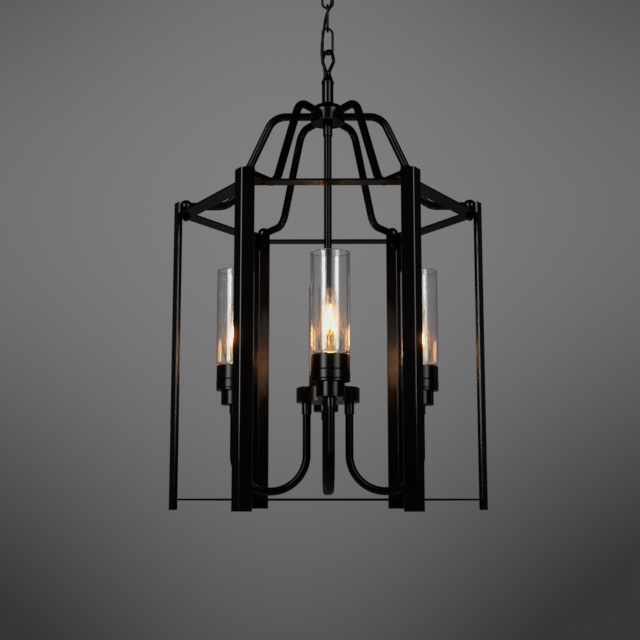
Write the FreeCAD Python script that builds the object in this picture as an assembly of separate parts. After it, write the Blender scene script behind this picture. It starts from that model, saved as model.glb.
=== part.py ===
import FreeCAD, Part
import math
import os

from FreeCAD import Vector as V

# Hanging lantern: an open six-sided cage under a dome of bent rods, with a
# cluster of four glass-shaded candle lamps inside, hung on a short chain from
# a ceiling rose.  Millimetres, +Z up.  Heights below are counted from the top
# face of the bottom ring; the finished model is lowered so that z = 0 is the
# ceiling.  The viewing side is -Y, and two corners of the cage lie on +-X.

# ---------------------------------------------------------------- dimensions
CEIL_Z = 790.0          # ceiling face above the bottom ring

# cage
R_CORNER = 215.0        # hexagon circumradius at the posts' outer corners
POST_FACE = 17.2        # width of each face of a folded corner post
POST_T = 2.0            # post sheet thickness
POST_BEND = 4.0         # outside radius of the post's fold
POST_TOP = 407.2
POST_BOT = -15.2
RING_W = 24.0           # flat bar of the two rings
RING_T = 2.5
TOP_RING_Z = 392.5      # top face of the top ring
BOT_RING_Z = 0.0        # top face of the bottom ring

# dome
TUBE_D = 11.0           # every bent rod and tube
TUBE_ID = 8.6
HUB_R = 24.0
HUB_BOT = 522.8
HUB_SHOULDER = 540.5
HUB_TOP = 550.0
ARM_Z = 533.2           # dome rods leave the hub at this height
ARM_R0 = 15.0           # rod end inside the hub
ARM_R1 = 76.0           # corner of the upper bend
ARM_R2 = 135.3          # corner of the lower bend
ARM_BEND = 26.5
BALL_R = 9.2
BALL_AT = 198.0         # radius of the corner balls' circle
BALL_Z = TOP_RING_Z + 11.0
BALL_NECK_D = 11.0      # spacer under each ball
BOLT_SHANK_D = 6.0
BOLT_HEX = 10.4         # across the flats
BOLT_HEX_H = 4.0
BOLT_DOME_D = 8.6
BOLT_HEAD_H = 7.6

# stem and loop on top of the hub
STEM_R = 8.25
STEM_TOP = 594.5
STEM_RING_Z = 583.4
STEM_STUD_D = 8.0
FLARE_R = 10.0
LOOP_WIRE_D = 5.0
LOOP_ARC = 11.0
LOOP_SLIT = 0.8
LOOP_TURN_DEG = -50.0   # the loop's plane, turned from the XZ plane

# chain
LINK_L = 42.0
LINK_W = 18.5
LINK_D = 3.5
PLAY = 0.3              # clearance where two wires bear on each other
LINK_1_Z = 714.7        # middle of the uppermost link
LINK_TURN = (0.0, 90.0, 20.0)   # planes of the links, from the XZ plane

# ceiling fitting
ROSE_R = 55.0
ROSE_T = 1.5
ROSE_RIM = 7.0
ROSE_BOT = 763.0
CEIL_RING_R = 13.0      # centre-line radius of the rose's hanging ring
CEIL_RING_D = 5.0
STUD_D = 10.0
NECK_D = 14.0
BRACKET = (92.0, 28.0, 2.5)
SCREW_SPACING = 72.0
SCREW_HOLE_D = 5.2

# lead
FLEX_D = 4.0
FLEX_ENTRY = (-3.7, -3.7)

# cluster
ROD_TOP = 527.0
DISC_R = 43.2
DISC_TOP = 149.2
DISC_BOT = 129.2
COVER_T = 2.0
COLLAR_D = 13.4
LEG_IN = 29.0           # radius of the inner legs of the U-shaped arms
LEG_OUT = (126.0, 126.0, 126.0, 127.2)   # lamps' distances from the rod; the left arm is bent a little wider
U_AXIS_Z = 58.4         # centre of the U's half circle

# lamps
CUP_R = 18.25
CUP_BOT = 125.5
FLANGE_Z = 145.0
FLANGE_R = 25.1
GALLERY_BOT = 148.0
GALLERY_TOP = 179.0
GALLERY_R = 24.85
GALLERY_IN = 23.45
GROOVE_Z = 159.8         # turned groove round the gallery
GROOVE_H = 2.0
GROOVE_DEPTH = 1.2
SEAT_IN = 21.0          # bore below the glass's foot
HOLDER_R = 12.8
HOLDER_BORE = 7.2
HOLDER_TOP = 176.0
GLASS_R = 25.4
GLASS_T = 2.2
GLASS_FLOOR = 3.4       # thickness of the glass's inward shoulder
GLASS_FOOT_R = 2.8      # outside radius at the bottom of the glass
GLASS_TOP = 311.0
FOOT_R = 23.0
FOOT_BOT = 166.0
BULB_TIP = 267.0
BULB_R = 17.0

CLUSTER_TURN = 1.45     # the whole cluster is screwed home on the centre rod this far past square, in degrees
LAMP_AZ = tuple(a + CLUSTER_TURN for a in (-90.0, 0.0, 90.0, 180.0))   # front, right, back, left
CORNER_AZ = (0.0, 60.0, 120.0, 180.0, 240.0, 300.0)

os.makedirs("parts", exist_ok=True)
DOWN = V(0, 0, -CEIL_Z)
Z = V(0, 0, 1)
O = V(0, 0, 0)


# ------------------------------------------------------------------- helpers
def save(name, shape):
    """Write one node, lowered to the ceiling frame."""
    s = shape.copy()
    s.translate(DOWN)
    s.exportStep("parts/%s.step" % name)
    print(name, "solids", len(s.Solids), "volume %.0f" % s.Volume, "valid", s.isValid())


def cyl(d, z0, z1, x=0.0, y=0.0):
    return Part.makeCylinder(d / 2.0, z1 - z0, V(x, y, z0), Z)


def turned(shape, deg):
    s = shape.copy()
    s.rotate(O, Z, deg)
    return s


def revolve(points):
    """Solid of revolution about Z from a closed (r, z) outline.  A point with
    three values is the middle of an arc between its two neighbours."""
    edges, i, n = [], 0, len(points)
    pts = [V(p[0], 0, p[1]) for p in points]
    while i < n:
        a = pts[i]
        if len(points[(i + 1) % n]) == 3:
            b, c = pts[(i + 1) % n], pts[(i + 2) % n]
            edges.append(Part.Arc(a, b, c).toShape())
            i += 2
        else:
            c = pts[(i + 1) % n]
            edges.append(Part.LineSegment(a, c).toShape())
            i += 1
    face = Part.Face(Part.Wire(edges))
    return face.revolve(O, Z, 360)


def rounded_path(points, radii):
    """Wire of straight runs joined by tangent arcs."""
    edges, last = [], points[0]
    for k in range(1, len(points) - 1):
        p, a, b = points[k], points[k - 1], points[k + 1]
        u = (a - p).normalize()
        w = (b - p).normalize()
        turn = math.pi - u.getAngle(w)
        cut = radii[k - 1] * math.tan(turn / 2.0)
        s, e = p + u * cut, p + w * cut
        bis = (u + w).normalize()
        m = p + bis * (radii[k - 1] / math.cos(turn / 2.0) - radii[k - 1])
        if (s - last).Length > 1e-6:
            edges.append(Part.LineSegment(last, s).toShape())
        edges.append(Part.Arc(s, m, e).toShape())
        last = e
    if (points[-1] - last).Length > 1e-6:
        edges.append(Part.LineSegment(last, points[-1]).toShape())
    return Part.Wire(edges)


def pipe(wire, d):
    """Round rod along a wire."""
    start = wire.Edges[0]
    p = start.valueAt(start.FirstParameter)
    t = start.tangentAt(start.FirstParameter)
    if (p - wire.OrderedVertexes[0].Point).Length > 1e-6:
        p = start.valueAt(start.LastParameter)
        t = start.tangentAt(start.LastParameter) * -1.0
    ring = Part.Wire([Part.Circle(p, t, d / 2.0).toShape()])
    return wire.makePipeShell([ring], True, False)


def polar(r, az, z):
    a = math.radians(az)
    return V(r * math.cos(a), r * math.sin(a), z)


def soften(shape, radius, pick):
    edges = [e for e in shape.Edges if pick(e)]
    return shape.makeFillet(radius, edges)


def is_vertical(e):
    a, b = e.Vertexes[0].Point, e.Vertexes[-1].Point
    return len(e.Vertexes) == 2 and abs(a.x - b.x) < 1e-6 and abs(a.y - b.y) < 1e-6


# ------------------------------------------------------------- ceiling group
bracket = Part.makeBox(BRACKET[0], BRACKET[1], BRACKET[2],
                       V(-BRACKET[0] / 2, -BRACKET[1] / 2, CEIL_Z - BRACKET[2]))
bracket = soften(bracket, 6.0, is_vertical)
for sx in (-1, 1):
    bracket = bracket.cut(cyl(SCREW_HOLE_D, CEIL_Z - 5, CEIL_Z + 1, sx * SCREW_SPACING / 2))
bracket = bracket.cut(cyl(STUD_D, CEIL_Z - 5, CEIL_Z + 1))
save("ceiling_bracket", bracket)

# shallow spun rose with a straight rim, closed at the bottom round the stud
rim_z = CEIL_Z - ROSE_RIM
rose = revolve([
    (ROSE_R, CEIL_Z), (ROSE_R, rim_z),
    (44.0, ROSE_BOT + 5.4, 0), (15.0, ROSE_BOT),
    (STUD_D / 2 + 0.3, ROSE_BOT), (STUD_D / 2 + 0.3, ROSE_BOT + ROSE_T), (15.0, ROSE_BOT + ROSE_T),
    (43.0, ROSE_BOT + 5.4 + ROSE_T, 0), (ROSE_R - ROSE_T, rim_z),
    (ROSE_R - ROSE_T, CEIL_Z),
])
save("ceiling_rose", rose)

# hanging ring, flanged neck and threaded stud in one forging, bored for the lead
link_half = LINK_L / 2 - LINK_D / 2                       # centre-line half length
link_r = LINK_W / 2 - LINK_D / 2                          # centre-line bend radius
ceil_wire_z = LINK_1_Z + link_half - LINK_D / 2 - PLAY - CEIL_RING_D / 2
ceil_ring_c = ceil_wire_z + CEIL_RING_R
ring = Part.makeTorus(CEIL_RING_R, CEIL_RING_D / 2, V(0, 0, ceil_ring_c), V(1, 0, 0))
neck = revolve([
    (0, ceil_ring_c + CEIL_RING_R - 1.0), (NECK_D / 2 - 2, ceil_ring_c + CEIL_RING_R - 1.0),
    (NECK_D / 2, ceil_ring_c + CEIL_RING_R + 1.2), (NECK_D / 2, ROSE_BOT - 3.2),
    (12.0, ROSE_BOT - 3.2), (12.8, ROSE_BOT - 2.4), (12.8, ROSE_BOT),
    (STUD_D / 2, ROSE_BOT), (STUD_D / 2, CEIL_Z - 0.5), (0, CEIL_Z - 0.5),
])
ceiling_loop = ring.fuse(neck).removeSplitter()
ceiling_loop = ceiling_loop.cut(cyl(FLEX_D + 1.0, ceil_ring_c, CEIL_Z + 1))
save("ceiling_loop", ceiling_loop)

# terminal block on the bracket's underside
term = Part.makeBox(24, 16, 12, V(17, -8, CEIL_Z - BRACKET[2] - 12))
term = soften(term, 1.0, is_vertical)
for k in (-1, 0, 1):
    term = term.cut(Part.makeCylinder(1.6, 30, V(16, 5.0 * k, CEIL_Z - BRACKET[2] - 6), V(1, 0, 0)))
    term = term.cut(cyl(3.0, CEIL_Z - BRACKET[2] - 13, CEIL_Z - BRACKET[2] - 7.8, 29, 5.0 * k))
save("terminal_block", term)


# --------------------------------------------------------------------- chain
def link(zc, turn):
    """Welded oval link in the XZ plane, or turned a quarter about Z."""
    s = link_half - link_r
    p = [V(link_r, 0, -s), V(link_r, 0, s), V(0, 0, s + link_r), V(-link_r, 0, s),
         V(-link_r, 0, -s), V(0, 0, -s - link_r)]
    w = Part.Wire([
        Part.LineSegment(p[0], p[1]).toShape(), Part.Arc(p[1], p[2], p[3]).toShape(),
        Part.LineSegment(p[3], p[4]).toShape(), Part.Arc(p[4], p[5], p[0]).toShape(),
    ])
    sh = pipe(w, LINK_D)
    sh.rotate(O, Z, turn)
    sh.translate(V(0, 0, zc))
    return sh


pitch = 2 * link_half - LINK_D - PLAY
link_z = [LINK_1_Z - k * pitch for k in range(3)]
for k in range(3):
    save("chain_link_%d" % (k + 1), link(link_z[k], LINK_TURN[k]))

# ----------------------------------------------------------- loop, stem, hub
loop_apex = link_z[2] - link_half + LINK_D / 2 + PLAY + LOOP_WIRE_D / 2
loop_c = loop_apex - LOOP_ARC
a_left, a_right = math.radians(200.6), math.radians(18.0)
l0 = V(-2.0, 0, STEM_TOP + 3.5)
l1 = V(LOOP_ARC * math.cos(a_left), 0, loop_c + LOOP_ARC * math.sin(a_left))
lm = V(0, 0, loop_apex)
l2 = V(LOOP_ARC * math.cos(a_right), 0, loop_c + LOOP_ARC * math.sin(a_right))
kink = V(13.5, 0, STEM_TOP + 17.0)
l4 = V(2.2, 0, STEM_TOP + 3.5)
right_side = rounded_path([l2, kink, l4], [4.0])
loop_wire = Part.Wire([Part.LineSegment(l0, l1).toShape(), Part.Arc(l1, lm, l2).toShape()]
                      + right_side.Edges)
loop = pipe(loop_wire, LOOP_WIRE_D)
foot = revolve([(0, STEM_TOP), (5.0, STEM_TOP), (5.0, STEM_TOP + 3.2), (4.0, STEM_TOP + 5.6), (0, STEM_TOP + 5.6)])
loop = loop.fuse(foot).removeSplitter()
# slit where the bent rod's end closes on the lug
d = (kink - l2).normalize()
at = kink - d * 2.6
slit = Part.makeCylinder(6.0, LOOP_SLIT, at - d * (LOOP_SLIT / 2), d)
loop = loop.cut(slit)
loop.rotate(O, Z, LOOP_TURN_DEG)
flex_hole = cyl(FLEX_D + 0.8, STEM_TOP - 12.0, STEM_TOP + 8, *FLEX_ENTRY)
loop = loop.cut(flex_hole)
save("lantern_loop", loop)

stem = revolve([
    (0, HUB_TOP - 7.5), (STEM_STUD_D / 2, HUB_TOP - 7.5), (STEM_STUD_D / 2, HUB_TOP),
    (FLARE_R, HUB_TOP), (FLARE_R, HUB_TOP + 1.0),
    (8.8, HUB_TOP + 1.9, 0), (STEM_R, HUB_TOP + 4.0),
    (STEM_R, STEM_RING_Z - 2.0), (STEM_R + 0.7, STEM_RING_Z - 1.2), (STEM_R + 0.7, STEM_RING_Z + 0.4),
    (7.6, STEM_RING_Z + 4.0), (5.2, STEM_TOP), (0, STEM_TOP),
])
stem = stem.cut(flex_hole)
save("loop_stem", stem)

hub = revolve([
    (0, HUB_BOT), (HUB_R - 1.0, HUB_BOT), (HUB_R, HUB_BOT + 1.0), (HUB_R, HUB_SHOULDER),
    (20.6, HUB_SHOULDER + 6.0, 0), (FLARE_R + 2.0, HUB_TOP), (0, HUB_TOP),
])
hub = hub.cut(cyl(TUBE_D, HUB_BOT - 1, ROD_TOP))
hub = hub.cut(cyl(STEM_STUD_D, HUB_TOP - 7.5, HUB_TOP + 1))
for az in CORNER_AZ:
    hub = hub.cut(Part.makeCylinder(TUBE_D / 2, 20, polar(ARM_R0, az, ARM_Z), polar(1, az, 0)))
save("top_hub", hub)

# ------------------------------------------------------------------ dome rods
arm_wire = rounded_path(
    [V(ARM_R0, 0, ARM_Z), V(ARM_R1, 0, ARM_Z), V(ARM_R2, 0, BALL_Z), V(BALL_AT - 3.0, 0, BALL_Z)],
    [ARM_BEND, ARM_BEND])
arm = pipe(arm_wire, TUBE_D)
for k, az in enumerate(CORNER_AZ):
    save("dome_arm_%d" % (k + 1), turned(arm, az))

# corner balls stand on the top ring, each on a short neck
ball = Part.makeSphere(BALL_R, V(BALL_AT, 0, BALL_Z))
neck_b = cyl(BALL_NECK_D, TOP_RING_Z, BALL_Z, BALL_AT)
ball = ball.fuse(neck_b).removeSplitter()
ball = ball.cut(Part.makeCylinder(TUBE_D / 2, 30, V(BALL_AT - 33.0, 0, BALL_Z), V(1, 0, 0)))
ball = ball.cut(cyl(BOLT_SHANK_D, TOP_RING_Z - 1, BALL_Z - TUBE_D / 2 - 0.3, BALL_AT))
save("corner_balls", Part.makeCompound([turned(ball, az) for az in CORNER_AZ]))

head_z = TOP_RING_Z - RING_T
bolt = revolve([
    (0, head_z - BOLT_HEAD_H), (3.1, head_z - BOLT_HEAD_H + 1.0, 0), (BOLT_DOME_D / 2, head_z - BOLT_HEX_H),
    (BOLT_SHANK_D / 2, head_z - BOLT_HEX_H), (BOLT_SHANK_D / 2, BALL_Z - TUBE_D / 2 - 0.4),
    (0, BALL_Z - TUBE_D / 2 - 0.4),
])
hex_c = BOLT_HEX / 2 / math.cos(math.radians(30))
hex_nut = Part.Face(Part.makePolygon([polar(hex_c, 60 * k, head_z - BOLT_HEX_H) for k in range(7)]))
bolt = bolt.fuse(hex_nut.extrude(V(0, 0, BOLT_HEX_H))).removeSplitter()
bolt.translate(V(BALL_AT, 0, 0))
save("corner_bolts", Part.makeCompound([turned(bolt, az) for az in CORNER_AZ]))


# ---------------------------------------------------------------------- cage
def hexagon(apothem, z):
    c = apothem / math.cos(math.radians(30))
    return Part.makePolygon([polar(c, 60 * k, z) for k in range(7)])


def hex_ring(z_top, holes):
    out_ap = R_CORNER * math.cos(math.radians(30)) - POST_T
    o = Part.Face(hexagon(out_ap, z_top - RING_T)).extrude(V(0, 0, RING_T))
    o = soften(o, POST_BEND, is_vertical)
    i = Part.Face(hexagon(out_ap - RING_W, z_top - RING_T - 1)).extrude(V(0, 0, RING_T + 2))
    r = o.cut(i)
    if holes:
        for az in CORNER_AZ:
            p = polar(BALL_AT, az, 0)
            r = r.cut(cyl(BOLT_SHANK_D, z_top - RING_T - 1, z_top + 1, p.x, p.y))
    return r


save("top_ring", hex_ring(TOP_RING_Z, True))
save("bottom_ring", hex_ring(BOT_RING_Z, False))

# folded corner post: two flat faces along the hexagon's sides
P = V(R_CORNER, 0, POST_BOT)
dirs = [polar(1, 120, 0), polar(1, -120, 0)]
norm = [polar(1, 210, 0), polar(1, -210, 0)]
inner = V(R_CORNER - POST_T / math.cos(math.radians(30)), 0, POST_BOT)
outline = [P, P + dirs[0] * POST_FACE, P + dirs[0] * POST_FACE + norm[0] * POST_T,
           inner, P + dirs[1] * POST_FACE + norm[1] * POST_T, P + dirs[1] * POST_FACE, P]
post = Part.Face(Part.makePolygon(outline)).extrude(V(0, 0, POST_TOP - POST_BOT))
post = soften(post, POST_BEND, lambda e: is_vertical(e) and abs(e.Vertexes[0].Point.x - P.x) < 1e-6)
post = soften(post, POST_BEND - POST_T, lambda e: is_vertical(e) and abs(e.Vertexes[0].Point.x - inner.x) < 1e-6
              and abs(e.Vertexes[0].Point.y) < 1e-6)
for k, az in enumerate(CORNER_AZ):
    save("corner_post_%d" % (k + 1), turned(post, az))

# ------------------------------------------------------------- lamp cluster
rod = cyl(TUBE_D, DISC_TOP - 6.0, ROD_TOP).cut(cyl(TUBE_ID, DISC_TOP - 7.0, ROD_TOP + 1))
save("centre_rod", rod)

# shallow round wiring box: an inverted pan and its cover plate
wall = 2.5
pan = revolve([
    (TUBE_D / 2, DISC_TOP - wall), (DISC_R - wall, DISC_TOP - wall), (DISC_R - wall, DISC_BOT + COVER_T),
    (DISC_R, DISC_BOT + COVER_T), (DISC_R, DISC_TOP - 1.6), (DISC_R - 0.5, DISC_TOP - 0.5, 0),
    (DISC_R - 1.6, DISC_TOP), (TUBE_D / 2, DISC_TOP),
])
save("cluster_body", pan)
cover = cyl(2 * DISC_R, DISC_BOT, DISC_BOT + COVER_T)
for az in LAMP_AZ:
    p = polar(LEG_IN, az, 0)
    cover = cover.cut(cyl(TUBE_D, DISC_BOT - 1, DISC_BOT + COVER_T + 1, p.x, p.y))
save("cluster_cover", cover)

# U-shaped lamp arms
for k, az in enumerate(LAMP_AZ):
    out = LEG_OUT[k]
    mid_r = (LEG_IN + out) / 2
    u_r = (out - LEG_IN) / 2
    u_wire = Part.Wire([
        Part.LineSegment(V(LEG_IN, 0, DISC_BOT + COVER_T + 2.5), V(LEG_IN, 0, U_AXIS_Z)).toShape(),
        Part.Arc(V(LEG_IN, 0, U_AXIS_Z), V(mid_r, 0, U_AXIS_Z - u_r), V(out, 0, U_AXIS_Z)).toShape(),
        Part.LineSegment(V(out, 0, U_AXIS_Z), V(out, 0, CUP_BOT + 3.5)).toShape(),
    ])
    u_arm = pipe(u_wire, TUBE_D).cut(pipe(u_wire, TUBE_ID))
    save("lamp_arm_%d" % (k + 1), turned(u_arm, az))


def collar(z0, z1, r, az):
    p = polar(r, az, 0)
    c = cyl(COLLAR_D, z0, z1, p.x, p.y)
    c = soften(c, 0.6, lambda e: abs(e.Vertexes[0].Point.z - z0) < 1e-6 and len(e.Vertexes) == 1)
    return c.cut(cyl(TUBE_D, z0 - 1, z1 + 1, p.x, p.y))


collars = [collar(HUB_BOT - 18.0, HUB_BOT, 0, 0), collar(DISC_TOP, DISC_TOP + 12.0, 0, 0)]
for k, az in enumerate(LAMP_AZ):
    collars.append(collar(DISC_BOT - 16.2, DISC_BOT, LEG_IN, az))
    collars.append(collar(CUP_BOT - 12.5, CUP_BOT, LEG_OUT[k], az))
save("tube_collars", Part.makeCompound(collars))

# --------------------------------------------------------------------- lamps
cup = revolve([
    (TUBE_D / 2, CUP_BOT), (CUP_R - 1.0, CUP_BOT), (CUP_R, CUP_BOT + 1.0), (CUP_R, FLANGE_Z),
    (FLANGE_R - 0.5, FLANGE_Z), (FLANGE_R, FLANGE_Z + 0.5), (FLANGE_R, GALLERY_BOT - 0.7),
    (FLANGE_R - 0.7, GALLERY_BOT), (CUP_R - 1.5, GALLERY_BOT), (CUP_R - 1.5, CUP_BOT + 2.0), (TUBE_D / 2, CUP_BOT + 2.0),
])
gallery = revolve([
    (HOLDER_R + 0.4, GALLERY_BOT), (FLANGE_R - 1.0, GALLERY_BOT), (FLANGE_R, GALLERY_BOT + 1.0),
    (FLANGE_R, GROOVE_Z - GROOVE_H / 2), (GALLERY_R - GROOVE_DEPTH, GROOVE_Z), (GALLERY_R, GROOVE_Z + GROOVE_H / 2),
    (GALLERY_R, GALLERY_TOP - 1.0), (GALLERY_R - 0.293, GALLERY_TOP - 0.293, 0), (GALLERY_R - 1.0, GALLERY_TOP),
    (GALLERY_IN, GALLERY_TOP), (GALLERY_IN, FOOT_BOT - 0.6), (SEAT_IN, FOOT_BOT - 0.6),
    (SEAT_IN, GALLERY_BOT + 1.5), (HOLDER_R + 0.4, GALLERY_BOT + 1.5),
])
holder = revolve([
    (0, CUP_BOT + 3.5), (HOLDER_R - 1.5, CUP_BOT + 3.5), (HOLDER_R, CUP_BOT + 5.0), (HOLDER_R, HOLDER_TOP - 1.0),
    (HOLDER_R - 1.0, HOLDER_TOP), (HOLDER_BORE + 1.8, HOLDER_TOP), (HOLDER_BORE, HOLDER_TOP - 4.2),
    (HOLDER_BORE, GALLERY_BOT + 1.7),
    (0, GALLERY_BOT + 1.7),
])
shoulder = GALLERY_TOP + 0.2
glass = revolve([
    (FOOT_R - GLASS_T, FOOT_BOT), (FOOT_R, FOOT_BOT), (FOOT_R, shoulder), (GLASS_R - GLASS_FOOT_R, shoulder),
    (GLASS_R - GLASS_FOOT_R * 0.29289, shoulder + GLASS_FOOT_R * 0.29289, 0), (GLASS_R, shoulder + GLASS_FOOT_R),
    (GLASS_R, GLASS_TOP - GLASS_T / 2), (GLASS_R - GLASS_T / 2, GLASS_TOP, 0), (GLASS_R - GLASS_T, GLASS_TOP - GLASS_T / 2),
    (GLASS_R - GLASS_T, shoulder + GLASS_FLOOR + 1.2), (GLASS_R - GLASS_T - 0.35, shoulder + GLASS_FLOOR + 0.35, 0),
    (GLASS_R - GLASS_T - 1.2, shoulder + GLASS_FLOOR), (FOOT_R - GLASS_T, shoulder + GLASS_FLOOR),
])

# flame-tip candle bulb: blown envelope with a drawn tip, and its screw cap
prof = [(8.2, 178.0), (10.7, 183.0), (14.7, 193.0), (BULB_R, 205.5), (16.4, 218.0), (14.1, 231.0),
        (11.1, 243.0), (8.4, 253.0), (6.2, 260.5), (4.0, 264.9), (1.9, 266.6)]
wall_b = 0.8


def envelope(points, tip, base):
    c = Part.BSplineCurve()
    c.interpolate([V(r, 0, z) for r, z in points] + [V(0, 0, tip)])
    e = c.toShape()
    lines = [Part.LineSegment(V(0, 0, tip), V(0, 0, base)).toShape(),
             Part.LineSegment(V(0, 0, base), V(points[0][0], 0, base)).toShape()]
    f = Part.Face(Part.Wire([e] + lines))
    return f.revolve(O, Z, 360)


outer = envelope(prof, BULB_TIP, prof[0][1])
inside = envelope([(r - wall_b, z) for r, z in prof[:-1]], BULB_TIP - 1.0, prof[0][1])
bulb = outer.cut(inside)
cap_pts = [(0, 150.4), (3.4, 150.4), (3.6, 151.6), (6.2, 153.6), (6.5, 155.0)]
z = 155.0
while z < 170.5:
    cap_pts += [(6.9, z + 1.4), (6.5, z + 2.8)]
    z += 2.8
cap_pts += [(6.9, 173.2), (8.2, 177.0), (8.2, 178.0), (0, 178.0)]
cap = revolve(cap_pts)

for k, az in enumerate(LAMP_AZ):
    n = k + 1
    at = polar(LEG_OUT[k], az, 0)
    for name, s in (("lamp_cup_%d", cup), ("gallery_%d", gallery), ("glass_shade_%d", glass),
                    ("bulb_glass_%d", bulb), ("bulb_cap_%d", cap)):
        m = turned(s, az)
        m.translate(at)
        save(name % n, m)
holders = []
for k, az in enumerate(LAMP_AZ):
    m = turned(holder, az)
    m.translate(polar(LEG_OUT[k], az, 0))
    holders.append(m)
save("lampholders", Part.makeCompound(holders))

# ---------------------------------------------------------------------- lead
# The supply lead comes out of the rose's neck, weaves down through the chain
# and goes into the stem.  One length per joint of the chain, end to end.
corners = [
    [V(0, 0, ROSE_BOT + 6), V(0, 0, ceil_ring_c + 6.0), V(5.2, -5.0, ceil_wire_z + 4.5), V(6.4, -4.6, link_z[0] + 2.0)],
    [V(6.0, -4.5, link_z[0] - 10.0), V(4.7, -4.7, link_z[0] - link_half + 1.9), V(-1.7, -2.2, link_z[1] + 5.0)],
    [V(-3.9, -2.6, link_z[1] - 7.0), V(-4.8, -6.2, link_z[1] - link_half + 1.9), V(-7.0, -7.0, link_z[2] + 3.7)],
    [V(-8.6, -6.9, link_z[2] - 16.3), V(-7.6, -5.6, 616.0), V(FLEX_ENTRY[0], FLEX_ENTRY[1], 600.0),
     V(FLEX_ENTRY[0], FLEX_ENTRY[1], STEM_TOP - 10.0)],
]
route = []
for k in range(4):
    part = list(corners[k])
    if k > 0:
        part.insert(0, (corners[k - 1][-1] + corners[k][0]) * 0.5)
    if k < 3:
        part.append((corners[k][-1] + corners[k + 1][0]) * 0.5)
    route.append(part)
total = 0.0
for k, pts in enumerate(route):
    radii = []
    for i in range(1, len(pts) - 1):
        u, w = pts[i - 1] - pts[i], pts[i + 1] - pts[i]
        turn = math.pi - u.getAngle(w)
        radii.append(0.45 * min(u.Length, w.Length) / math.tan(turn / 2.0))
    wire = rounded_path(pts, radii)
    lead = pipe(wire, FLEX_D)
    total += wire.Length
    print("lead", k + 1, "radii", ["%.0f" % r for r in radii], "length %.1f" % wire.Length,
          "volume ratio %.4f" % (lead.Volume / (wire.Length * math.pi * FLEX_D ** 2 / 4)))
    save("flex_%d" % (k + 1), lead)
print("lead in all %.1f mm" % total)
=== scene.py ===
"""Hanging lantern: six folded posts between two flat hexagon rings, a dome of bent rods, a chain with its lead,
and four lit candle lamps in clear glass tubes. Metres, +Z up, the ceiling face at z = 0."""

import math

import bmesh
import bpy
from mathutils import Matrix, Vector


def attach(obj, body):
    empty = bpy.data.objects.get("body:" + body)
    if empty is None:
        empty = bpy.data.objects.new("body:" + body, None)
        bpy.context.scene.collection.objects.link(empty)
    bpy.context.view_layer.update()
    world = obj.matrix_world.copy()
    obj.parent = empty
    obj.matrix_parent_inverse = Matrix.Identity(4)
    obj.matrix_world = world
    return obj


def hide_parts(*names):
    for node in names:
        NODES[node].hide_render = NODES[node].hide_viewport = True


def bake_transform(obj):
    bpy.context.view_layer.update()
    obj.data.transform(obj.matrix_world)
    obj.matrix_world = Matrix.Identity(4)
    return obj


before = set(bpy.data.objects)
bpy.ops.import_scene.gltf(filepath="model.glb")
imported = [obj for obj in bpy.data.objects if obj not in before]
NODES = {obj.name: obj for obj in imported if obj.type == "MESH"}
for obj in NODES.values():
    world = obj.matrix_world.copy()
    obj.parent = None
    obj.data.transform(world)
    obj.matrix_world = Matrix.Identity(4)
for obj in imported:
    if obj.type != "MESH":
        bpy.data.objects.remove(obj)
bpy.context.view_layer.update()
SCENE = bpy.context.scene

MM = 0.001
CEIL = 790.0  # the lantern's heights are given from the top face of its lower ring, which hangs this far under the ceiling


def at(x, y, z):
    """A point of the lantern in millimetres, as a point of the frame."""
    return Vector((x * MM, y * MM, (z - CEIL) * MM))


def link(obj):
    SCENE.collection.objects.link(obj)
    return obj


# ---------------------------------------------------------------- camera

cam_data = bpy.data.cameras.new("camera")
cam_data.sensor_width = 36.0
cam_data.lens = 65.37
cam_data.clip_start = 0.02
cam_data.clip_end = 60.0
camera = link(bpy.data.objects.new("camera", cam_data))
camera.location = (0.0014, -1.5812, -0.78804)
camera.rotation_euler = (math.radians(98.663), 0.0, math.radians(0.446))
SCENE.camera = camera


# ---------------------------------------------------------------- materials


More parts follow.
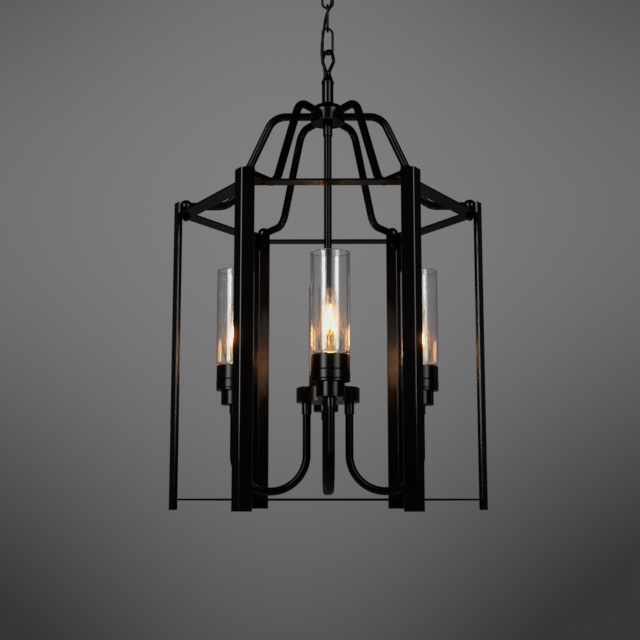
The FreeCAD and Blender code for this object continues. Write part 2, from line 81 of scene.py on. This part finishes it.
class Shader:
    """A material's node tree, written from the output back to its sources."""

    def __init__(self, name):
        self.mat = bpy.data.materials.new(name)
        self.mat.use_nodes = True
        self.tree = self.mat.node_tree
        self.tree.nodes.clear()
        self.out = self.node("ShaderNodeOutputMaterial")
        self.coords = self.node("ShaderNodeTexCoord").outputs["Object"]

    def node(self, kind, **values):
        n = self.tree.nodes.new(kind)
        for key, value in values.items():
            if hasattr(n, key):
                setattr(n, key, value)
        return n

    def join(self, source, target):
        self.tree.links.new(source, target)

    def mapped(self, scale=(1, 1, 1), shift=(0, 0, 0)):
        m = self.node("ShaderNodeMapping")
        m.inputs["Scale"].default_value = scale
        m.inputs["Location"].default_value = shift
        self.join(self.coords, m.inputs["Vector"])
        return m.outputs["Vector"]

    def noise(self, scale, detail=2.0, rough=0.5, distort=0.0, vector=None):
        n = self.node("ShaderNodeTexNoise")
        n.inputs["Scale"].default_value = scale
        n.inputs["Detail"].default_value = detail
        n.inputs["Roughness"].default_value = rough
        n.inputs["Distortion"].default_value = distort
        self.join(vector or self.coords, n.inputs["Vector"])
        return n.outputs["Fac"]

    def spread(self, source, low, high, to_low=0.0, to_high=1.0):
        n = self.node("ShaderNodeMapRange")
        n.inputs["From Min"].default_value = low
        n.inputs["From Max"].default_value = high
        n.inputs["To Min"].default_value = to_low
        n.inputs["To Max"].default_value = to_high
        self.join(source, n.inputs["Value"])
        return n.outputs["Result"]

    def ramp(self, source, *stops):
        n = self.node("ShaderNodeValToRGB")
        e = n.color_ramp.elements
        while len(e) < len(stops):
            e.new(0.5)
        for k, (place, colour) in enumerate(stops):
            e[k].position = place
            e[k].color = (*colour, 1.0)
        self.join(source, n.inputs["Fac"])
        return n.outputs["Color"]

    def math(self, op, a, b=None, c=None):
        n = self.node("ShaderNodeMath", operation=op)
        for k, v in enumerate((a, b, c)):
            if v is None:
                continue
            if isinstance(v, (int, float)):
                n.inputs[k].default_value = v
            else:
                self.join(v, n.inputs[k])
        return n.outputs[0]

    def bump(self, height, strength, distance, under=None):
        n = self.node("ShaderNodeBump")
        n.inputs["Strength"].default_value = strength
        n.inputs["Distance"].default_value = distance
        self.join(height, n.inputs["Height"])
        if under is not None:
            self.join(under, n.inputs["Normal"])
        return n.outputs["Normal"]

    def principled(self, **sockets):
        n = self.node("ShaderNodeBsdfPrincipled")
        for key, value in sockets.items():
            socket = n.inputs[key.replace("_", " ")]
            if hasattr(value, "is_linked"):
                self.join(value, socket)
            else:
                socket.default_value = value
        return n.outputs["BSDF"]

    def close(self, surface):
        self.join(surface, self.out.inputs["Surface"])
        return self.mat


def satin_black(name, seed, shine=0.25, gloss=0.21, wavy=0.05, depth=1.0):
    """Satin black powder coat: faint cloudy tone and gloss, the coat's fine orange peel, slow waves and a little dust."""
    s = Shader(name)
    here = s.mapped(shift=(seed * 0.37, seed * 0.61, seed * 0.23))
    cloud = s.noise(9.0, 4.0, 0.55, 0.2, here)
    grain = s.noise(420.0, 3.0, 0.6, 0.0, here)
    dust = s.spread(s.noise(1500.0, 2.0, 0.5, 0.0, here), 0.68, 0.80)
    dust = s.math("MULTIPLY", dust, s.spread(cloud, 0.45, 0.75))
    colour = s.ramp(
        s.math("ADD", s.spread(cloud, 0.3, 0.7, 0.0, 0.5), s.math("MULTIPLY", dust, 0.5)),
        (0.0, (0.0004 * depth, 0.0004 * depth, 0.00045 * depth)),
        (0.5, (0.0009 * depth, 0.0009 * depth, 0.0010 * depth)),
        (1.0, (0.0036 + 0.0009 * depth, 0.0035 + 0.0009 * depth, 0.0033 + 0.0009 * depth)),
    )
    rough = s.math("ADD", s.spread(cloud, 0.3, 0.7, gloss - 0.02, gloss + 0.03), s.spread(grain, 0.35, 0.65, -0.01, 0.02))
    coat = s.bump(s.noise(900.0, 2.0, 0.5, 0.0, here), 0.004, 0.0002)
    coat = s.bump(s.noise(16.0, 2.0, 0.5, 0.0, here), wavy, 0.004, coat)
    return s.close(s.principled(Base_Color=colour, Roughness=rough, Normal=coat, IOR=1.5, Specular_IOR_Level=shine))


def chain_black():
    """The same black on welded wire, rubbed a little here and there."""
    s = Shader("chain_black")
    cloud = s.noise(60.0, 4.0, 0.6, 0.3)
    rub = s.spread(s.noise(340.0, 5.0, 0.65, 0.4), 0.60, 0.74)
    colour = s.ramp(
        rub, (0.0, (0.0006, 0.0006, 0.0007)), (0.7, (0.0014, 0.0014, 0.0013)), (1.0, (0.0050, 0.0048, 0.0046))
    )
    rough = s.math("ADD", s.spread(cloud, 0.3, 0.7, 0.22, 0.30), s.math("MULTIPLY", rub, -0.04))
    coat = s.bump(s.noise(700.0, 3.0, 0.6), 0.01, 0.0002)
    return s.close(s.principled(Base_Color=colour, Roughness=rough, Normal=coat, IOR=1.5, Specular_IOR_Level=0.11))


def lead_black():
    """Black round flex: a soft sheath with a fine drawn grain along it."""
    s = Shader("lead_black")
    drawn = s.noise(1.0, 3.0, 0.6, 0.0, s.mapped(scale=(900.0, 900.0, 60.0)))
    colour = s.ramp(drawn, (0.25, (0.0006, 0.0006, 0.0007)), (0.75, (0.0016, 0.0016, 0.0015)))
    rough = s.spread(drawn, 0.2, 0.8, 0.42, 0.56)
    skin = s.bump(drawn, 0.06, 0.0002)
    return s.close(s.principled(Base_Color=colour, Roughness=rough, Normal=skin, IOR=1.5, Specular_IOR_Level=0.10))


def clear_glass(name, tint, waves, clarity, *zones):
    """Clear blown or drawn glass. Lamp light passes it unbent, so that what stands round it is lit.
    Each zone is a height where the glass begins to bloom, one where it does so fully, and how much. Where two more
    numbers follow, the bloom shows only at a glancing angle, as a thin film on glass does, between those two."""
    s = Shader(name)
    draw = s.noise(1.0, 2.0, 0.5, 0.0, s.mapped(scale=(42.0, 42.0, 7.0)))
    film = s.noise(55.0, 4.0, 0.6, 0.4)
    skin = s.bump(draw, waves, 0.0006)
    rough = s.spread(film, 0.45, 0.75, 0.0, 0.015)
    if zones:
        split = s.node("ShaderNodeSeparateXYZ")
        s.join(s.coords, split.inputs[0])
        for first, full, bloom, *glance in zones:
            level = s.spread(split.outputs["Z"], (min(first, full) - CEIL) * MM, (max(first, full) - CEIL) * MM, *((0.0, bloom) if first < full else (bloom, 0.0)))
            if glance:
                level = s.math("MULTIPLY", level, s.spread(s.node("ShaderNodeLayerWeight").outputs["Facing"], *glance))
            clarity = s.math("SUBTRACT", clarity, level)
    colour = s.ramp(film, (0.3, tint), (0.8, tuple(0.985 * c for c in tint)))
    glass = s.principled(
        Base_Color=colour, Roughness=rough, Normal=skin, IOR=1.5, Transmission_Weight=clarity
    )
    clear = s.node("ShaderNodeBsdfTransparent")
    clear.inputs["Color"].default_value = (0.94, 0.94, 0.93, 1.0)
    mix = s.node("ShaderNodeMixShader")
    s.join(s.node("ShaderNodeLightPath").outputs["Is Shadow Ray"], mix.inputs[0])
    s.join(glass, mix.inputs[1])
    s.join(clear.outputs[0], mix.inputs[2])
    return s.close(mix.outputs[0])


def bright_metal(name, low, high, gloss, stretch=(1, 1, 1), scale=300.0):
    """Plated metal with fine marks."""
    s = Shader(name)
    marks = s.noise(scale, 5.0, 0.65, 0.2, s.mapped(scale=stretch))
    cloud = s.noise(45.0, 3.0, 0.5)
    colour = s.ramp(s.math("ADD", s.math("MULTIPLY", marks, 0.6), s.math("MULTIPLY", cloud, 0.4)), (0.3, low), (0.7, high))
    rough = s.spread(marks, 0.3, 0.7, gloss - 0.06, gloss + 0.10)
    skin = s.bump(marks, 0.12, 0.0002)
    return s.close(s.principled(Base_Color=colour, Roughness=rough, Normal=skin, Metallic=1.0))


def moulded(name, low, high, gloss, scale=120.0):
    """Moulded insulating plastic with a fine spark-eroded grain."""
    s = Shader(name)
    cloud = s.noise(scale, 4.0, 0.55, 0.3)
    grain = s.noise(1800.0, 2.0, 0.5)
    colour = s.ramp(cloud, (0.3, low), (0.75, high))
    rough = s.spread(cloud, 0.3, 0.7, gloss - 0.05, gloss + 0.08)
    skin = s.bump(grain, 0.10, 0.0002)
    return s.close(s.principled(Base_Color=colour, Roughness=rough, Normal=skin, IOR=1.5))


GLOW_POWER = 330.0


def glowing():
    """A coated filament stick: even along its length, a little mottled by its coating."""
    s = Shader("filament_glow")
    coat = s.noise(900.0, 3.0, 0.6)
    n = s.node("ShaderNodeEmission")
    s.join(
        s.ramp(coat, (0.2, (1.0, 0.37, 0.105)), (0.8, (1.0, 0.45, 0.135))),
        n.inputs["Color"],
    )
    n.inputs["Strength"].default_value = GLOW_POWER
    return s.close(n.outputs[0])


BLACK_POST = satin_black("satin_black_posts", 1.0, 0.40, 0.15, depth=1.5)
BLACK_RING = satin_black("satin_black_rings", 2.0, 0.28, 0.19)
BLACK_ROD = satin_black("satin_black_rods", 3.0, 0.16, 0.19, 0.02)
BLACK_ARM = satin_black("satin_black_arms", 6.0, 0.085, 0.21, 0.02)
BLACK_TURNED = satin_black("satin_black_turned", 4.0, 0.29, 0.18, 0.01)
BLACK_ROSE = satin_black("satin_black_rose", 5.0)
CHAIN = chain_black()
LEAD = lead_black()
SHADE = clear_glass("shade_glass", (0.985, 0.990, 0.986), 0.012, 0.9993, (309.9, 310.7, 0.12), (236.0, 180.0, 0.0030), (216.0, 208.0, 0.085, 0.37, 0.45))
BULB = clear_glass("bulb_glass", (0.990, 0.955, 0.850), 0.003, 0.9988, (248.0, 256.0, 0.007))
STEM = clear_glass("stem_glass", (0.990, 0.940, 0.800), 0.10, 0.955)
CAP = bright_metal("bulb_cap", (0.56, 0.53, 0.48), (0.74, 0.71, 0.66), 0.28)
WIRE = bright_metal("support_wire", (0.50, 0.48, 0.45), (0.66, 0.63, 0.58), 0.25)
HOLDER = moulded("lampholder", (0.62, 0.57, 0.47), (0.70, 0.65, 0.55), 0.42)
ZINC = bright_metal("bracket_steel", (0.46, 0.47, 0.47), (0.66, 0.67, 0.68), 0.34, (1.0, 14.0, 14.0), 40.0)
TERMINAL = moulded("terminal", (0.66, 0.66, 0.64), (0.76, 0.76, 0.73), 0.45)
GLOWING = glowing()

FINISH = {
    "corner_post_": BLACK_POST,
    "top_ring": BLACK_RING,
    "bottom_ring": BLACK_RING,
    "dome_arm_": BLACK_ROD,
    "centre_rod": BLACK_ROD,
    "lamp_arm_": BLACK_ARM,
    "lantern_loop": BLACK_ROD,
    "corner_balls": BLACK_TURNED,
    "corner_bolts": BLACK_TURNED,
    "top_hub": BLACK_TURNED,
    "loop_stem": BLACK_TURNED,
    "tube_collars": BLACK_TURNED,
    "cluster_": BLACK_TURNED,
    "lamp_cup_": BLACK_TURNED,
    "gallery_": BLACK_TURNED,
    "ceiling_rose": BLACK_ROSE,
    "ceiling_loop": BLACK_ROSE,
    "chain_link_": CHAIN,
    "flex_": LEAD,
    "glass_shade_": SHADE,
    "bulb_glass_": BULB,
    "bulb_cap_": CAP,
    "lampholders": HOLDER,
    "ceiling_bracket": ZINC,
    "terminal_block": TERMINAL,
}


def finish_of(name):
    for start, mat in FINISH.items():
        if name.startswith(start):
            return mat
    raise KeyError(name)


for name, obj in NODES.items():
    mat = finish_of(name)
    if not obj.material_slots:
        obj.data.materials.append(mat)
    for slot in obj.material_slots:
        slot.material = mat


# ---------------------------------------------------------------- mesh helpers


def mesh_object(name, bm, *mats):
    bmesh.ops.recalc_face_normals(bm, faces=bm.faces)
    data = bpy.data.meshes.new(name)
    bm.to_mesh(data)
    bm.free()
    for mat in mats:
        data.materials.append(mat)
    for p in data.polygons:
        p.use_smooth = True
    return link(bpy.data.objects.new(name, data))


def frames_along(points):
    """A frame at each point that turns as little as it can along the line."""
    tangents = []
    for k in range(len(points)):
        a, b = points[max(0, k - 1)], points[min(len(points) - 1, k + 1)]
        tangents.append((b - a).normalized())
    side = Vector((1, 0, 0)) if abs(tangents[0].x) < 0.8 else Vector((0, 1, 0))
    side = (side - tangents[0] * side.dot(tangents[0])).normalized()
    rows = []
    for t in tangents:
        side = (side - t * side.dot(t)).normalized()
        rows.append((side, t.cross(side)))
    return rows


def sweep(bm, points, radii, sides=16, mat=0, rows=None):
    """A closed round tube along points; radii is one number or one for each point."""
    rows = rows or frames_along(points)
    if isinstance(radii, (int, float)):
        radii = [radii] * len(points)
    rings = []
    for p, r, (u, v) in zip(points, radii, rows):
        ring = []
        for k in range(sides):
            a = 2 * math.pi * k / sides
            ring.append(bm.verts.new(p + (u * math.cos(a) + v * math.sin(a)) * r))
        rings.append(ring)
    for a, b in zip(rings, rings[1:]):
        for k in range(sides):
            f = bm.faces.new((a[k], a[(k + 1) % sides], b[(k + 1) % sides], b[k]))
            f.material_index = mat
    for ring in (rings[0], rings[-1]):
        bm.faces.new(ring).material_index = mat


def line_through(points, order=3, steps=14):
    """Points of the smooth spline that has these control points."""
    curve = bpy.data.curves.new("line", "CURVE")
    curve.dimensions = "3D"
    curve.resolution_u = steps
    spline = curve.splines.new("NURBS")
    spline.points.add(len(points) - 1)
    for p, q in zip(spline.points, points):
        p.co = (*q, 1.0)
    spline.order_u = order
    spline.use_endpoint_u = True
    obj = link(bpy.data.objects.new("line", curve))
    bpy.context.view_layer.update()
    found = bpy.data.meshes.new_from_object(obj.evaluated_get(bpy.context.evaluated_depsgraph_get()))
    line = [v.co.copy() for v in found.vertices]
    bpy.data.objects.remove(obj)
    bpy.data.curves.remove(curve)
    bpy.data.meshes.remove(found)
    return line


# ---------------------------------------------------------------- supply lead

LEAD_R = 2.0 * MM
ROUTE = [
    (0.0, 0.0, 769.0),
    (0.0, 0.0, 748.4),
    (5.2, -5.0, 733.9),
    (6.4, -4.6, 716.7),
    (6.0, -4.5, 704.7),
    (4.7, -4.7, 697.35),
    (-1.7, -2.2, 685.0),
    (-3.9, -2.6, 673.0),
    (-4.8, -6.2, 662.65),
    (-7.0, -7.0, 649.0),
    (-8.6, -6.9, 629.0),
    (-7.6, -5.6, 616.0),
    (-3.7, -3.7, 600.0),
    (-3.7, -3.7, 584.5),
]
# the lead is one cable; it follows one chain joint after another, and these are the points where one joint's length ends
MEETS = [at(6.2, -4.55, 710.7), at(-2.8, -2.4, 679.0), at(-7.8, -6.95, 639.0)]
PAIRS = [("ceiling", "link_1"), ("link_1", "link_2"), ("link_2", "link_3"), ("link_3", "lantern")]

lead_line = line_through([at(*p) for p in ROUTE])
cuts = [0]
for m in MEETS:
    cuts.append(min(range(len(lead_line)), key=lambda k: (lead_line[k] - m).length))
cuts.append(len(lead_line) - 1)
lead_rows = frames_along(lead_line)
for k, (above, below) in enumerate(PAIRS):
    a, b = cuts[k], cuts[k + 1]
    bm = bmesh.new()
    sweep(bm, lead_line[a : b + 1], LEAD_R, 20, 0, lead_rows[a : b + 1])
    piece = mesh_object(f"lead_{k + 1}", bm, LEAD)
    start, end = lead_line[a], lead_line[b]
    if k == 0:
        start = at(0.0, 0.0, 747.0)
    if k == 3:
        end = at(-4.6, -4.2, 603.0)
    run = end - start
    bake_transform(piece)
    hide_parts(f"flex_{k + 1}")


# ---------------------------------------------------------------- what glows in each bulb

LAMP_R = {1: 126.0, 2: 126.0, 3: 126.0, 4: 127.2}
CLUSTER_TURN = 1.45
LAMPS = {n: (LAMP_R[n] * math.cos(math.radians(a + CLUSTER_TURN)), LAMP_R[n] * math.sin(math.radians(a + CLUSTER_TURN))) for n, a in ((1, -90.0), (2, 0.0), (3, 90.0), (4, 180.0))}
STICK_LOW, STICK_HIGH = 211.0, 243.0
STICK_R = 0.95

for n, (cx, cy) in LAMPS.items():
    turn = math.radians(45.0 + 17.0 * n)

    def ring_point(r, k, z):
        a = turn + k * math.pi / 2
        return at(cx + r * math.cos(a), cy + r * math.sin(a), z)

    core = bmesh.new()
    for k in range(4):
        top = STICK_HIGH - (0.0, 5.0, 1.5, 6.5)[k]
        low, high = ring_point(5.6, k, STICK_LOW), ring_point(1.5, k, top)
        run = (high - low).normalized()
        length = (high - low).length
        stops = [0.0, 0.0003, 0.0007, 0.0012, length - 0.0012, length - 0.0007, length - 0.0003, length]
        radii = [STICK_R * MM * f for f in (0.45, 0.75, 0.93, 1.0, 1.0, 0.93, 0.75, 0.45)]
        sweep(core, [low + run * s for s in stops], radii, 12, 0)
        # a welded tail at each end of the stick, bent in to the lead wire or to the next stick
        foot = [low + run * 0.0004, low - run * 0.0022, ring_point(3.8, k, STICK_LOW - 3.4), ring_point(1.9, k, STICK_LOW - 4.2), ring_point(1.3, k, 203.0)]
        sweep(core, line_through(foot), 0.24 * MM, 8, 1)
        head = [high - run * 0.0004, high + run * 0.0018, ring_point(0.9, k, top + 2.2), ring_point(0.2, k, STICK_HIGH + 3.4)]
        sweep(core, line_through(head), 0.24 * MM, 8, 1)
    # the anchor wire that holds the sticks' top ends
    sweep(core, [at(cx, cy, z) for z in (203.0, 217.0, 232.0, STICK_HIGH + 4.0)], 0.32 * MM, 8, 1)
    filament = mesh_object(f"filament_{n}", core, GLOWING, WIRE)
    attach(filament, f"bulb_{n}")

    # the glass stem that carries the wires, flared below and pressed flat at its top
    bm = bmesh.new()
    profile = [(6.2, 179.2), (5.0, 180.6), (3.9, 183.0), (3.2, 187.0), (3.0, 193.0), (3.0, 198.0), (2.9, 202.0), (2.5, 204.6), (1.5, 206.2)]
    sides = 24
    rings = []
    for r, z in profile:
        press = max(0.0, min(1.0, (z - 189.0) / 9.0))
        ring = []
        for k in range(sides):
            a = 2 * math.pi * k / sides
            wide, thin = r * (1 + 0.35 * press), r * (1 - 0.30 * press)
            x, y = wide * math.cos(a), thin * math.sin(a)
            ring.append(bm.verts.new(at(cx + x * math.cos(turn) - y * math.sin(turn), cy + x * math.sin(turn) + y * math.cos(turn), z)))
        rings.append(ring)
    for a, b in zip(rings, rings[1:]):
        for k in range(sides):
            bm.faces.new((a[k], a[(k + 1) % sides], b[(k + 1) % sides], b[k]))
    bm.faces.new(rings[0])
    bm.faces.new(rings[-1])
    stem = mesh_object(f"bulb_stem_{n}", bm, STEM)
    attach(stem, f"bulb_{n}")


# ---------------------------------------------------------------- room

FLOOR_Z = -1.80

bm = bmesh.new()
ring_r = [0.0, 0.5, 1.0, 1.6, 2.2, 2.9, 3.6, 4.4, 5.2, 6.2]
last = None
for r in ring_r[1:]:
    ring = [bm.verts.new((r * math.cos(2 * math.pi * k / 96), r * math.sin(2 * math.pi * k / 96), FLOOR_Z)) for k in range(96)]
    if last is None:
        bm.faces.new(ring)
    else:
        for k in range(96):
            bm.faces.new((last[k], last[(k + 1) % 96], ring[(k + 1) % 96], ring[k]))
    last = ring
s = Shader("floor")
pale = s.ramp(s.noise(1.2, 4.0, 0.5), (0.3, (0.60, 0.60, 0.595)), (0.7, (0.66, 0.66, 0.655)))
matt = s.principled(Base_Color=pale, Roughness=0.75)
far = s.node("ShaderNodeVectorMath", operation="LENGTH")
s.join(s.mapped(scale=(1, 1, 0)), far.inputs[0])
fade = s.node("ShaderNodeMixShader")
s.join(s.spread(far.outputs["Value"], 2.4, 6.0), fade.inputs[0])
s.join(matt, fade.inputs[1])
s.join(s.node("ShaderNodeBsdfTransparent").outputs[0], fade.inputs[2])
floor = mesh_object("floor", bm, s.close(fade.outputs[0]))

# a plain grey room, a little lighter at head height and in the middle of each wall
world = bpy.data.worlds.new("room")
world.use_nodes = True
SCENE.world = world
wt = world.node_tree
wt.nodes.clear()


def wnode(kind, **values):
    n = wt.nodes.new(kind)
    for key, value in values.items():
        setattr(n, key, value)
    return n


def wmath(op, a, b=None):
    n = wnode("ShaderNodeMath", operation=op)
    for k, v in enumerate((a, b)):
        if v is None:
            continue
        if isinstance(v, (int, float)):
            n.inputs[k].default_value = v
        else:
            wt.links.new(v, n.inputs[k])
    return n.outputs[0]


direction = wnode("ShaderNodeSeparateXYZ")
wt.links.new(wnode("ShaderNodeTexCoord").outputs["Generated"], direction.inputs[0])
dx, dy, dz = direction.outputs
turned = wmath("ARCTAN2", dx, dy)
height = wmath("ARCSINE", dz)
wave = wmath("COSINE", wmath("MULTIPLY", wmath("ADD", turned, math.radians(2.0)), 6.0))
across = wmath("MINIMUM", wmath("SUBTRACT", 1.0, wave), 1.3)
rise = wmath("SUBTRACT", height, math.radians(13.85))
up_down = wmath("MINIMUM", wmath("MULTIPLY", rise, rise), 0.16)
fall = wmath("ADD", wmath("MULTIPLY", across, -0.25), wmath("MULTIPLY", up_down, -6.3))
fall = wmath("ADD", fall, wmath("MULTIPLY", wmath("MULTIPLY", across, up_down), -9.0))
fall = wmath("MAXIMUM", fall, -1.7)
tone = wmath("MULTIPLY", wmath("EXPONENT", fall), 0.2085)
grey = wnode("ShaderNodeCombineColor")
for k, share in enumerate((1.0, 0.985, 1.01)):
    wt.links.new(wmath("MULTIPLY", tone, share), grey.inputs[k])
path = wnode("ShaderNodeLightPath")
through = wmath("MULTIPLY", path.outputs["Is Transmission Ray"], wmath("LESS_THAN", path.outputs["Glossy Depth"], 0.5))
seen = wmath("MAXIMUM", path.outputs["Is Camera Ray"], through)
inner = wmath("MULTIPLY", path.outputs["Is Transmission Ray"], 0.85)
behind = wmath("MINIMUM", wmath("MAXIMUM", wmath("SUBTRACT", wmath("MULTIPLY", dy, 2.2), 1.2), 0.0), 1.0)
strength = wmath("MAXIMUM", wmath("MAXIMUM", seen, inner), wmath("ADD", wmath("MULTIPLY", behind, 0.45), 0.07))
back = wnode("ShaderNodeBackground")
wt.links.new(grey.outputs[0], back.inputs["Color"])
wt.links.new(strength, back.inputs["Strength"])
wt.links.new(back.outputs[0], wnode("ShaderNodeOutputWorld").inputs["Surface"])

TARGET = Vector((0.0, 0.0, -0.50))


def softbox(name, turn, reach, height, wide, tall, radiance, colour=(1.0, 1.0, 1.0)):
    """A flat soft light at that bearing from the lantern, in degrees to the right of the camera's side."""
    data = bpy.data.lights.new(name, "AREA")
    data.shape = "RECTANGLE"
    data.size, data.size_y = wide, tall
    data.energy = radiance * math.pi * wide * tall
    data.color = colour
    # like the camera, a look straight through the glass doesn't meet the light itself, only its reflections
    data.use_nodes = True
    nt = data.node_tree
    ray = nt.nodes.new("ShaderNodeLightPath")
    plain = nt.nodes.new("ShaderNodeMath")
    plain.operation = "LESS_THAN"
    nt.links.new(ray.outputs["Glossy Depth"], plain.inputs[0])
    plain.inputs[1].default_value = 0.5
    past = nt.nodes.new("ShaderNodeMath")
    past.operation = "GREATER_THAN"
    nt.links.new(ray.outputs["Transmission Depth"], past.inputs[0])
    past.inputs[1].default_value = 0.5
    hidden = nt.nodes.new("ShaderNodeMath")
    hidden.operation = "MULTIPLY"
    nt.links.new(past.outputs[0], hidden.inputs[0])
    nt.links.new(plain.outputs[0], hidden.inputs[1])
    shown = nt.nodes.new("ShaderNodeMath")
    shown.operation = "SUBTRACT"
    shown.inputs[0].default_value = 1.0
    nt.links.new(hidden.outputs[0], shown.inputs[1])
    nt.links.new(shown.outputs[0], nt.nodes["Emission"].inputs["Strength"])
    obj = link(bpy.data.objects.new(name, data))
    a = math.radians(turn)
    obj.location = (reach * math.sin(a), -reach * math.cos(a), height)
    aim = Vector((TARGET.x, TARGET.y, height)) - obj.location
    obj.rotation_euler = aim.to_track_quat("-Z", "Y").to_euler()
    obj.visible_camera = False
    return obj


# two tall softboxes; each is brightest in its middle, so it is given as a bright light on a wider, dimmer one
softbox("softbox_left", -39.22, 2.296, 0.36, 0.752, 1.88, 4.6)
softbox("softbox_left_edge", -37.6, 2.298, 0.36, 1.229, 1.88, 2.1)
softbox("softbox_right", 39.89, 2.295, 0.40, 0.697, 1.80, 2.9)
softbox("softbox_right_edge", 36.45, 2.3, 0.40, 1.262, 1.80, 1.6)

SCENE.view_settings.view_transform = "Standard"
SCENE.view_settings.look = "None"
SCENE.view_settings.exposure = 0.0
SCENE.view_settings.gamma = 1.0
SCENE.cycles.max_bounces = 24
SCENE.cycles.transmission_bounces = 24
SCENE.cycles.glossy_bounces = 8
SCENE.cycles.sample_clamp_indirect = 12.0
SCENE.cycles.transparent_max_bounces = 24

# the soft bloom that a lens gives to what is far brighter than white
SCENE.use_nodes = True
ct = SCENE.node_tree
ct.nodes.clear()
layers = ct.nodes.new("CompositorNodeRLayers")
bloom = ct.nodes.new("CompositorNodeGlare")
bloom.glare_type = "BLOOM"
bloom.quality = "HIGH"
bloom.inputs["Threshold"].default_value = 1.2
bloom.inputs["Clamp"].default_value = True
bloom.inputs["Maximum"].default_value = 12.0
bloom.inputs["Strength"].default_value = 0.11
bloom.inputs["Size"].default_value = 0.33
# close round the glowing filaments it is warm and dense
halo = ct.nodes.new("CompositorNodeGlare")
halo.glare_type = "BLOOM"
halo.quality = "HIGH"
halo.inputs["Threshold"].default_value = 1.6
halo.inputs["Clamp"].default_value = True
halo.inputs["Maximum"].default_value = 30.0
halo.inputs["Strength"].default_value = 0.55
halo.inputs["Size"].default_value = 0.014
halo.inputs["Tint"].default_value = (1.0, 0.46, 0.14, 1.0)
# and the soft shoulder that a camera gives to its whites
shoulder = ct.nodes.new("CompositorNodeCurveRGB")
shoulder.mapping.use_clip = True
shoulder.mapping.clip_max_x = 2.0
shoulder.mapping.extend = "HORIZONTAL"
bend = shoulder.mapping.curves[3]
for place, value in ((0.4, 0.4), (0.7, 0.685), (1.0, 0.835)):
    bend.points.new(place, value)
for point in bend.points:
    if point.location.x > 0.99 and point.location.y > 0.99:
        point.location = (1.7, 0.925)
shoulder.mapping.update()
picture = ct.nodes.new("CompositorNodeComposite")
ct.links.new(layers.outputs["Image"], bloom.inputs["Image"])
ct.links.new(bloom.outputs["Image"], halo.inputs["Image"])
ct.links.new(halo.outputs["Image"], shoulder.inputs["Image"])
ct.links.new(shoulder.outputs["Image"], picture.inputs["Image"])
